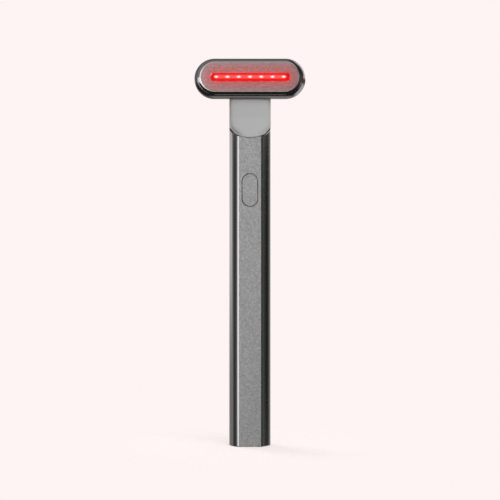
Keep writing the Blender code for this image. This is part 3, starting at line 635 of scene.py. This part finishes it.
swept, given = growth_tree("profile round a long outline", {
    "Profile": "Geometry", "Width": "Float", "Height": "Float", "End radius": "Float", "End steps": "Int",
    "Middle height": "Float", "Material": "Material",
})
outline_size = {"Width": given["Width"], "Height": given["Height"]}
path = add_node(swept, "GeometryNodeCurvePrimitiveQuadrilateral", outline_size)
rounding = {"Curve": path, "Radius": given["End radius"], "Count": given["End steps"]}
path = add_node(swept, "GeometryNodeFilletCurve", rounding, mode="POLY")
path = add_node(swept, "GeometryNodeSetCurveNormal", {"Curve": path}, mode="Z_UP")
wall = add_node(swept, "GeometryNodeCurveToMesh", {"Curve": path, "Profile Curve": given["Profile"]})
placed = add_node(swept, "CombineXYZ", {"Z": given["Middle height"]})
stood_up = {"Geometry": wall, "Rotation": (pi / 2, 0, 0), "Translation": placed}
wall = add_node(swept, "GeometryNodeTransform", stood_up)
wall = add_node(swept, "GeometryNodeRealizeInstances", {"Geometry": wall})
wall = add_node(swept, "GeometryNodeSetMaterial", {"Geometry": wall, "Material": given["Material"]})
add_node(swept, "NodeGroupOutput", {"Geometry": wall})

rim = []
for level in range(1, rim_levels + 1):
    angle = pi / 2 + (rim_start - pi / 2) * level / rim_levels
    offset = rim_round_width * (1 - sin(angle)) / (1 - sin(rim_start))
    rim.append((rim_back_depth + rim_round_depth * cos(angle) / cos(rim_start), offset))
outside = shell_side(0) + rim + [(head_front_depth, lip_inset)]
inside = [(rim_back_depth, lip_inset)] + shell_side(head_wall)[::-1]
profile_curve = bpy.data.curves.new("cup profile", "CURVE")
profile_line = profile_curve.splines.new("POLY")
profile_line.points.add(len(outside + inside) - 1)
for point, (depth, offset) in zip(profile_line.points, outside + inside):
    point.co = (-offset, -depth, 0, 1)
housing = grown(add_object("head_cup_start", profile_curve), swept, {
    "Width": 2 * head_half_width,
    "Height": 2 * head_half_height,
    "End radius": head_half_height - end_flat,
    "End steps": end_steps,
    "Middle height": head_centre_height,
    "Material": polished_metal("buffed gunmetal aluminium", "7A7675", "767271", 0.2),
})
shape = bmesh.new()
shape.from_mesh(housing.data)
bmesh.ops.edgeloop_fill(shape, edges=[edge for edge in shape.edges if edge.is_boundary])
bmesh.ops.recalc_face_normals(shape, faces=shape.faces)
shape.to_mesh(housing.data)
shape.free()
mouth = widened(skirt_size, gap)
mouth_profile = [(*mouth, head_back_depth / 2), (*mouth, head_front_depth + overrun)]
cut(housing, loft(long_rings(mouth_profile, plate_height)))
below_head = head_centre_height - head_half_height - overrun
cut(housing, rod(channel_radius, (0, -channel_depth, below_head), (0, -channel_depth, head_centre_height)))
for across, foot, top in screw_places:
    cut(housing, rod(screw_radius + gap, (across, 0, below_head), (across, 0, top)))
finish_edges(housing)
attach(housing, "head")
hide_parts("head_housing")


# The treatment plate: a stamped stainless plate with a grained face, a polished rolled edge and a slot for
# the lens. A fine bevel between face and edge draws a line of light round the face. A short skirt behind it
# finds its place in the housing. Red light from the lens is painted onto the steel round the slot.
plate_thickness = 0.0007
plate_flat_size = (0.0194, 0.0057)
plate_bevel_width = 0.0004
plate_bevel_drop = 0.00007
plate_edge_width = 0.0012
plate_edge_levels = 16
plate_edge_start = radians(30)
plate_edge_end = radians(52)
plate_side_height = 0.00025
skirt_wall = 0.0008
slot_half_width = 0.0155
slot_half_height = 0.00161
slot_size = (slot_half_width, slot_half_height)
slot_chamfer = 0.00016
plate_flatness = 0.9999
streak_length = 0.003
streak_width = 0.0003
# The painted red light round the slot: how far it reaches from the slot's middle line, and its colour.
painted_red_light_reach = 0.0068
painted_red_light_colour = (1.8, 0.54, 0.56, 1)

plate_front = -plate_low.y
plate_back = plate_front - plate_thickness
skirt_back = -plate_high.y


def from_line(tree, across, above, half_length):
    """How far a place lies, seen from the front, from a level line of this half length."""
    aside = add_node(tree, "Math", {0: across}, operation="ABSOLUTE")
    beyond_end = add_node(tree, "Math", {0: aside, 1: half_length}, operation="SUBTRACT")
    beyond_end = add_node(tree, "Math", {0: beyond_end, 1: 0}, operation="MAXIMUM")
    offset = add_node(tree, "CombineXYZ", {"X": beyond_end, "Z": above})
    return add_node(tree, "VectorMath", {0: offset}, operation="LENGTH")


# Stainless steel grained along its length, in streaks about 0.05 mm wide on the real plate. Here they are
# 0.3 mm wide and 3 mm long, over a speckle of 0.8 mm, so that they show. The red light that the lens throws
# on
# the steel near the slot is painted: the steel is multiplied by a painted red light, which fades out 7 mm
# from the slot's middle line.
grained_steel_under_red_light, tree, place = new_material("grained stainless steel")
parts = add_node(tree, "SeparateXYZ", {0: place})
above = add_node(tree, "Math", {0: parts.outputs["Z"], 1: plate_height}, operation="SUBTRACT")
from_slot = from_line(tree, parts.outputs["X"], above, slot_half_width - slot_half_height)
# Share of painted red light: full at the slot's edge, none 6.8 mm from the slot's middle line.
painted_red_light_share = add_node(tree, "MapRange", span(from_slot, slot_half_height, painted_red_light_reach, 1, 0))
streak_scale = (1 / streak_length, 1 / streak_width, 1 / streak_width)
streak_place = add_node(tree, "Mapping", {"Vector": place, "Scale": streak_scale})
streaks = add_node(tree, "TexNoise", {"Vector": streak_place, "Scale": 1, "Detail": 3, "Roughness": 0.6})
speckle = add_node(tree, "TexNoise", {"Vector": place, "Scale": 1 / 0.0008, "Detail": 2})
grain = add_node(tree, "Mix", {0: 0.5, 2: streaks, 3: speckle})
steel = add_node(tree, "Mix", between(grain, "6F6665", "E2D9D8"), data_type="RGBA")
# The steel's colour is multiplied by the painted red light.
painted_red_light = add_node(tree, "Mix", {0: painted_red_light_share, 6: (1, 1, 1, 1), 7: painted_red_light_colour}, data_type="RGBA")
steel_under_painted_red_light = add_node(tree, "Mix", {0: 1, 6: steel, 7: painted_red_light}, data_type="RGBA", blend_type="MULTIPLY")
shader = add_node(tree, "BsdfPrincipled", {
    "Base Color": steel_under_painted_red_light,
    "Metallic": 1,
    "Roughness": add_node(tree, "MapRange", span(grain, 0, 1, 0.54, 0.62)),
    "Normal": add_node(tree, "Bump", {"Height": grain, "Distance": 0.000006, "Strength": 0.35}),
})
add_node(tree, "OutputMaterial", {"Surface": shader})

plate_profile = [(*widened(plate_flat_size, plate_edge_width), plate_back)]
plate_edge_height = plate_thickness - plate_bevel_drop - plate_side_height
for level in range(plate_edge_levels + 1):
    angle = plate_edge_end + (plate_edge_start - plate_edge_end) * level / plate_edge_levels
    out_share = (sin(angle) - sin(plate_edge_start)) / (sin(plate_edge_end) - sin(plate_edge_start))
    up_share = (cos(angle) - cos(plate_edge_end)) / (cos(plate_edge_start) - cos(plate_edge_end))
    offset = plate_bevel_width + (plate_edge_width - plate_bevel_width) * out_share
    depth = plate_back + plate_side_height + plate_edge_height * up_share
    plate_profile.append((*widened(plate_flat_size, offset), depth))
plate_profile += [
    (*plate_flat_size, plate_front),
    (*widened(slot_size, slot_chamfer), plate_front),
    (*slot_size, plate_front - slot_chamfer),
    (*slot_size, plate_back),
    (*widened(skirt_size, -skirt_wall), plate_back),
    (*widened(skirt_size, -skirt_wall), skirt_back),
    (*skirt_size, skirt_back),
    (*skirt_size, plate_back),
]
plate_rings = long_rings(plate_profile, plate_height)
polished_edge = polished_metal("polished stainless steel edge", "A09A99", "9C9695", 0.1)
plate = add_mesh("steel_plate", loft(plate_rings, joined=True), [grained_steel_under_red_light, polished_edge])
for face in plate.data.polygons:
    if -plate_front < face.center.y < -plate_back and abs(face.normal.y) < plate_flatness:
        face.material_index = 1
smooth_between_edges(plate)
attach(plate, "head")
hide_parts("treatment_plate")


# The light window: a moulded translucent red lens, let into the slot from behind. The seven lamps behind it
# show as small white hot spots in a pale red band, and the lens's rim is pure red.
window_fit = 0.0002
window_flange_rim = 0.0011
window_flange = 0.0008
window_edge = 0.0001
lamp_count = 7
spot_half_width = 0.0007
spot_half_height = 0.00041
spot_sharpness = 1.5
spot_spread = 1.005
spot_whiteness = 1.05
band_whiteness = 0.13
band_half_height = 0.0012
lamp_rise = 0.0001
lamp_low, lamp_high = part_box("red_led_1")
last_lamp_low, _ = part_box("red_led_7")
lamp_pitch = (last_lamp_low.x - lamp_low.x) / (lamp_count - 1)
window_low, window_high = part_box("light_window")
window_front = -window_low.y
window_back = -window_high.y


def from_nearest(tree, across, pitch):
    """How far a place lies, along X, from the nearest point of a row at this pitch."""
    shifted = add_node(tree, "Math", {0: across, 1: pitch / 2}, operation="ADD")
    snapped = add_node(tree, "Math", {0: shifted, 1: pitch}, operation="SNAP")
    return add_node(tree, "Math", {0: across, 1: snapped}, operation="SUBTRACT")


# Translucent red acrylic lit from behind: a spot of white light over each lamp, on a band that is paler red
# in its middle. The spots are wider than high and steep sided, and the lens spreads their row a little. Its
# skin has a faint ripple of 0.8 mm.
lit_lens, tree, place = new_material("red translucent acrylic")
parts = add_node(tree, "SeparateXYZ", {0: place})
spot_height = plate_height + lamp_rise
above = add_node(tree, "Math", {0: parts.outputs["Z"], 1: spot_height}, operation="SUBTRACT")
beside = from_nearest(tree, parts.outputs["X"], lamp_pitch * spot_spread)
spot_place = add_node(tree, "CombineXYZ", {"X": beside, "Z": above})
spot_scale = (1 / spot_half_width, 0, 1 / spot_half_height)
scaled = add_node(tree, "VectorMath", {0: spot_place, 1: spot_scale}, operation="MULTIPLY")
squared = add_node(tree, "VectorMath", {0: scaled, 1: scaled}, operation="DOT_PRODUCT")
sharpened = add_node(tree, "Math", {0: squared, 1: spot_sharpness}, operation="POWER")
falling = add_node(tree, "Math", {0: sharpened, 1: -1}, operation="MULTIPLY")
spot = add_node(tree, "Math", {0: falling}, operation="EXPONENT")
from_row = from_line(tree, parts.outputs["X"], above, lamp_pitch * (lamp_count - 1) / 2)
band_limits = span(from_row, band_half_height, 0, 0, band_whiteness)
band = add_node(tree, "MapRange", band_limits, interpolation_type="SMOOTHSTEP")
whiteness = {0: spot, 1: spot_whiteness, 2: band}
whiteness = add_node(tree, "Math", whiteness, operation="MULTIPLY_ADD", use_clamp=True)
glow = add_node(tree, "Mix", between(whiteness, "FF0402", "FFFDFA"), data_type="RGBA")
ripple = add_node(tree, "TexNoise", {"Vector": place, "Scale": 1 / 0.0008, "Detail": 1})
shader = add_node(tree, "BsdfPrincipled", {
    "Base Color": linear("4A0404"),
    "Roughness": 0.45,
    "Specular IOR Level": 0.05,
    "Emission Color": glow,
    "Emission Strength": 0.98,
    "Normal": add_node(tree, "Bump", {"Height": ripple, "Distance": 0.000004, "Strength": 0.3}),
})
add_node(tree, "OutputMaterial", {"Surface": shader})

body_size = widened(slot_size, -window_fit)
window_flange_size = widened(slot_size, window_flange_rim)
window_profile = [
    (*window_flange_size, window_back),
    (*window_flange_size, window_back + window_flange),
    (*body_size, window_back + window_flange),
    (*body_size, window_front - window_edge),
    (*widened(body_size, -window_edge), window_front),
]
window = add_mesh("lens", loft(long_rings(window_profile, plate_height)), [lit_lens])
smooth_between_edges(window)
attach(window, "head")
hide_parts("light_window")


# The lamps: seven surface-mounted packages in a row behind the lens, each a white moulded body with a round
# reflector cup and a clear dome over its red chip. They are soldered to the lamp board at an even pitch.
lamp_corner_power = 7
lamp_steps = 48
lamp_chamfer = 0.0001
lamp_cup_radius = 0.00085
lamp_cup_floor_radius = 0.00055
lamp_cup_depth = 0.0003
lamp_dome_rise = 0.00025
lamp_dome_levels = 6

# Clear silicone over a red chip in a white moulded cup: red and lit in the middle, paler and duller outwards.
lit_lamp, tree, place = new_material("white lamp body with lit red chip")
parts = add_node(tree, "SeparateXYZ", {0: place})
above = add_node(tree, "Math", {0: parts.outputs["Z"], 1: plate_height}, operation="SUBTRACT")
beside = from_nearest(tree, parts.outputs["X"], lamp_pitch)
chip_place = add_node(tree, "CombineXYZ", {"X": beside, "Z": above})
from_chip = add_node(tree, "VectorMath", {0: chip_place}, operation="LENGTH")
chip_limits = span(from_chip, lamp_cup_floor_radius, lamp_cup_floor_radius / 2)
chip = add_node(tree, "MapRange", chip_limits, interpolation_type="SMOOTHSTEP")
package = add_node(tree, "Mix", between(chip, "E9E6DF", "D8322A"), data_type="RGBA")
moulding = add_node(tree, "TexNoise", {"Vector": place, "Scale": 1 / 0.0003, "Detail": 2})
shader = add_node(tree, "BsdfPrincipled", {
    "Base Color": package,
    "Roughness": add_node(tree, "MapRange", span(chip, 0, 1, 0.5, 0.12)),
    "Emission Color": linear("FF3A30"),
    "Emission Strength": chip,
    "Normal": add_node(tree, "Bump", {"Height": moulding, "Distance": 0.000005, "Strength": 0.3}),
})
add_node(tree, "OutputMaterial", {"Surface": shader})

lamp_size = ((lamp_high.x - lamp_low.x) / 2, (lamp_high.z - lamp_low.z) / 2)
lamp_back = -lamp_high.y
lamp_face = -lamp_low.y - lamp_dome_rise
lamp_profile = [
    (*lamp_size, lamp_corner_power, lamp_back),
    (*lamp_size, lamp_corner_power, lamp_face - lamp_chamfer),
    (*widened(lamp_size, -lamp_chamfer), lamp_corner_power, lamp_face),
    (lamp_cup_radius, lamp_cup_radius, 2, lamp_face),
    (lamp_cup_floor_radius, lamp_cup_floor_radius, 2, lamp_face - lamp_cup_depth),
]
for level in range(1, lamp_dome_levels):
    angle = pi / 2 * level / lamp_dome_levels
    dome_radius = lamp_cup_floor_radius * cos(angle)
    dome_height = lamp_face - lamp_cup_depth + (lamp_cup_depth + lamp_dome_rise) * sin(angle)
    lamp_profile.append((dome_radius, dome_radius, 2, dome_height))
lamp_rings = [
    in_front(power_section(half_width, half_height, power, lamp_steps), 0, depth)
    for half_width, half_height, power, depth in lamp_profile
]
lamp = add_mesh("lamp_row_start", loft(lamp_rings))
smooth_between_edges(lamp)

in_rows, given = growth_tree("copies in even rows", {
    "Copied": "Geometry", "Count": "Int", "Pitch": "Float", "Rows": "Int", "Row spacing": "Float",
    "Middle": "Vector", "Material": "Material",
})
copies = given["Copied"]
for count, spacing, axis in (("Count", "Pitch", "X"), ("Rows", "Row spacing", "Y")):
    steps = add_node(in_rows, "Math", {0: given[count], 1: 1}, operation="SUBTRACT")
    length = add_node(in_rows, "Math", {0: steps, 1: given[spacing]}, operation="MULTIPLY")
    half_back = add_node(in_rows, "Math", {0: length, 1: -0.5}, operation="MULTIPLY")
    first = add_node(in_rows, "CombineXYZ", {axis: half_back})
    onward = add_node(in_rows, "CombineXYZ", {axis: given[spacing]})
    row = {"Count": given[count], "Start Location": first, "Offset": onward}
    row = add_node(in_rows, "GeometryNodeMeshLine", row)
    copies = add_node(in_rows, "GeometryNodeInstanceOnPoints", {"Points": row, "Instance": copies})
copies = add_node(in_rows, "GeometryNodeTransform", {"Geometry": copies, "Translation": given["Middle"]})
copies = add_node(in_rows, "GeometryNodeRealizeInstances", {"Geometry": copies})
copies = add_node(in_rows, "GeometryNodeSetMaterial", {"Geometry": copies, "Material": given["Material"]})
add_node(in_rows, "NodeGroupOutput", {"Geometry": copies})

lamps = grown(lamp, in_rows, {
    "Count": lamp_count,
    "Pitch": lamp_pitch,
    "Rows": 1,
    "Middle": (0, 0, plate_height),
    "Material": lit_lamp,
})
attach(lamps, "head")
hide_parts(*[f"red_led_{number}" for number in range(1, lamp_count + 1)])


# The charging port's contacts: two rows of twelve gold-plated strips on the two sides of the socket's tongue,
# moulded into it. They look out of the port in the handle's foot.
contact_count = 12
contact_pitch = 0.0005
contact_half_width = 0.00013
contact_half_length = 0.0016
contact_rise = 0.00003
contact_edge = 0.00002
tongue_half_thickness = 0.00035
tongue_length = 0.0045
port_depth = 0.0073


def patterned(name, grain, dark, pale, gloss, relief, metal=0, pattern="TexNoise", **settings):
    """A material whose colour, gloss and relief all follow one pattern, with its size along X, Y and Z."""
    coat, tree, place = new_material(name)
    scale = [1 / size for size in grain]
    placed = add_node(tree, "Mapping", {"Vector": place, "Scale": scale})
    share = add_node(tree, pattern, {"Vector": placed, "Scale": 1}, **settings)
    colour = add_node(tree, "Mix", between(share, dark, pale), data_type="RGBA")
    roughness = add_node(tree, "MapRange", span(share, 0, 1, *gloss))
    bump = add_node(tree, "Bump", {"Height": share, "Distance": relief, "Strength": 0.5})
    shader = add_node(tree, "BsdfPrincipled", {
        "Base Color": colour, "Metallic": metal, "Roughness": roughness, "Normal": bump,
    })
    add_node(tree, "OutputMaterial", {"Surface": shader})
    return coat


# Gold over nickel: warm and bright, with a plating bloom about 0.2 mm across that dulls it in spots.
gold_plate = patterned(
    "gold-plated contact", [0.0002] * 3, "B98A3C", "E5BE6B", gloss=(0.3, 0.18), relief=0.000002, metal=1
)

socket_low, socket_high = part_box("usb_c_socket")
tongue_middle = (socket_low.y + socket_high.y) / 2
contact_top = socket_low.z + port_depth
contact_centre_height = contact_top - tongue_length + contact_half_length + contact_edge
strip_rings = []
for inset, depth in [(0, -contact_rise), (0, contact_rise - contact_edge), (contact_edge, contact_rise)]:
    strip = upright(stadium(contact_half_length - inset, contact_half_width - inset))
    strip_rings.append([Vector((across, -depth, up)) for across, up in strip])
strip = add_mesh("contact_strips_start", loft(strip_rings))
contacts = grown(strip, in_rows, {
    "Count": contact_count,
    "Pitch": contact_pitch,
    "Rows": 2,
    "Row spacing": 2 * tongue_half_thickness,
    "Middle": (0, tongue_middle, contact_centre_height),
    "Material": gold_plate,
})
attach(contacts, "handle")


# The end cap: a plug moulded in black glass-filled nylon with a finely eroded surface, pressed into the
# tube's foot. It holds the charging socket.
def dressed(coat, *names):
    """Gives a material to CAD nodes that are shown as they are."""
    for name in names:
        for holder in frame["nodes"][name].material_slots:
            holder.material = coat


# Spark-eroded black nylon: a fine even stipple, drawn at 0.25 mm in place of 0.03 mm so that it shows.
black_plastic = patterned(
    "eroded black nylon", [0.00025] * 3, "131313", "262626", gloss=(0.62, 0.5), relief=0.000012
)
dressed(black_plastic, "end_cap")


# The charging socket: a shell drawn from thin stainless steel with its tongue moulded in, soldered to its
# board and flush with the cap.

# Drawn stainless steel: faint lines run along the draw, 0.1 mm apart here, where real ones are finer.
drawn_steel = patterned(
    "drawn stainless steel", [0.0001, 0.0001, 0.003], "8E8D8C", "B9B8B7", gloss=(0.34, 0.22), relief=0.000002,
    metal=1
)
dressed(drawn_steel, "usb_c_socket")


# The circuit boards: glass-fibre boards under green solder mask. One carries the charging socket, one the
# button switch and the motor's control, and one the lamps. Screws, solder or its seat hold each.

# Green solder mask over copper: tracks about 0.4 mm wide stand out paler in right-angled cells.
green_board = patterned(
    "green solder mask over copper tracks", [0.0012] * 3, "0E4A26", "1C6B3A", gloss=(0.32, 0.42),
    relief=0.000015, pattern="TexVoronoi", distance="CHEBYCHEV", feature="F1"
)
dressed(green_board, "charge_board", "main_board", "led_board")


# The battery: a rolled lithium cell in a drawn can with blue shrink wrap round it. It lies in the chassis on
# a foam pad, and its two leads are soldered on.

# Heat-shrunk PVC: it draws into faint rings 0.8 mm apart round the cell, glossier where it is tight.
shrink_wrap = patterned(
    "blue heat-shrunk wrap", [0.01, 0.01, 0.0025], "1C477F", "24569A", gloss=(0.2, 0.32), relief=0.000004,
    pattern="TexWave", wave_type="BANDS", bands_direction="Z"
)
dressed(shrink_wrap, "battery_cell")


# The battery pad: closed-cell grey foam that fills the space between the cell and the tube. Its own glue
# holds it.

# Cells of 0.1 to 0.3 mm make the cut foam look like a dull sponge. They are drawn at 0.35 mm.
foam = patterned(
    "closed-cell grey foam", [0.00035] * 3, "3A3A3A", "5A5A5A", gloss=(0.95, 0.85), relief=0.00006,
    pattern="TexVoronoi"
)
dressed(foam, "battery_pad")


# The battery leads and the two wire harnesses: stranded copper under soft PVC, soldered or crimped at their
# ends. The upper harness goes down through the hollow swivel post to meet the lower one.
def wire_cover(name, dark, pale):
    """Extruded soft PVC: satin, with slight swellings every millimetre or so from the strands under it."""
    return patterned(name, [0.0007, 0.0007, 0.0015], dark, pale, gloss=(0.3, 0.42), relief=0.00002)


black_cover = wire_cover("black PVC wire cover", "0D0D0D", "1E1E1E")
dressed(black_cover, "battery_lead_minus", "lower_harness", "upper_harness")
dressed(wire_cover("red PVC wire cover", "A11414", "C42222"), "battery_lead_plus")


# The chassis: a long frame moulded in the cap's black nylon. It slides into the tube with the battery and the
# main board on it, and its ribs hold both.
dressed(black_plastic, "chassis")


# The small screws, the swivel's ring and spring washer, and the two neck screws: steel parts, turned, rolled
# or stamped, then nickel plated against rust.

# Bright nickel: nearly a mirror, with a bloom about 0.4 mm across that softens it in places.
nickel_plate = patterned(
    "bright nickel plating", [0.0004] * 3, "B3B0AA", "CFCDC8", gloss=(0.26, 0.14), relief=0.000002, metal=1
)
dressed(nickel_plate, "board_screw_lower", "board_screw_upper", "neck_screw_left", "neck_screw_right")
dressed(nickel_plate, "wave_washer", "retaining_ring")


# The plug of the lower harness, the push switch's plunger and the swivel's socket: small mouldings in natural
# nylon. The plug clips on the board, the plunger slides in the switch, the socket is pressed into the tube.

# Natural nylon: off-white and waxy, with a cloudy flow mark every 2 mm or so.
nylon = patterned("natural nylon", [0.002] * 3, "D6D3C6", "E8E6DC", gloss=(0.36, 0.46), relief=0.000006)
dressed(nylon, "harness_connector", "switch_plunger", "swivel_socket")


# The switch body and the swivel's thrust washer: black acetal, moulded smooth, so that what slides on them
# wears little.

# Acetal shines softly and shows only slow waves some 3 mm long from the mould.
acetal = patterned("smooth black acetal", [0.003] * 3, "101010", "1B1B1B", gloss=(0.24, 0.34), relief=0.00001)
dressed(acetal, "switch_body", "swivel_washer")


# The pivot post, the motor's can and its shaft: steel turned or drawn round. The post is screwed up into the
# neck and turns in the swivel's socket, and the motor gives the head its vibration.

# Turned steel: its fine rings catch the light. They are drawn as soft bands 1.5 mm apart, so that they show.
turned_steel = patterned(
    "turned steel", [0.004] * 3, "93918F", "BDBBB8", gloss=(0.28, 0.18), relief=0.000003, metal=1,
    pattern="TexWave", wave_type="BANDS", bands_direction="DIAGONAL"
)
dressed(turned_steel, "pivot_post", "motor_can", "motor_shaft")


# The motor's sleeve: moulded black silicone rubber. It holds the motor in the head and keeps its buzz off
# the housing.

# Silicone picks up dust, so it is dull grey-black in soft patches about a millimetre across.
silicone = patterned(
    "dusty black silicone rubber", [0.001] * 3, "141414", "2B2A29", gloss=(0.7, 0.88), relief=0.00001
)
dressed(silicone, "motor_sleeve")


# The eccentric weight and the plate's contact pin: turned brass. The weight is pressed on the motor's shaft,
# and the pin is soldered to the lamp board and springs against the plate.

# Turned brass: warm rings about 0.15 mm apart that dull slightly where the alloy has tarnished.
turned_brass = patterned(
    "turned brass", [0.00015, 0.0012, 0.0012], "9E7B33", "CBA75A", gloss=(0.36, 0.22), relief=0.000004,
    metal=1
)
dressed(turned_brass, "eccentric_weight", "plate_contact_pin")


# The heater films: an etched nickel track between two amber polyimide foils, glued to the back of the plate
# above and below the lamps.

# The track shows through the amber foil as darker bars 2 mm apart.
polyimide = patterned(
    "amber polyimide over etched track", [0.0065] * 3, "7A3F0C", "C27A26", gloss=(0.2, 0.3), relief=0.00001,
    pattern="TexWave", wave_type="BANDS", bands_direction="X"
)
dressed(polyimide, "heater_film_upper", "heater_film_lower")
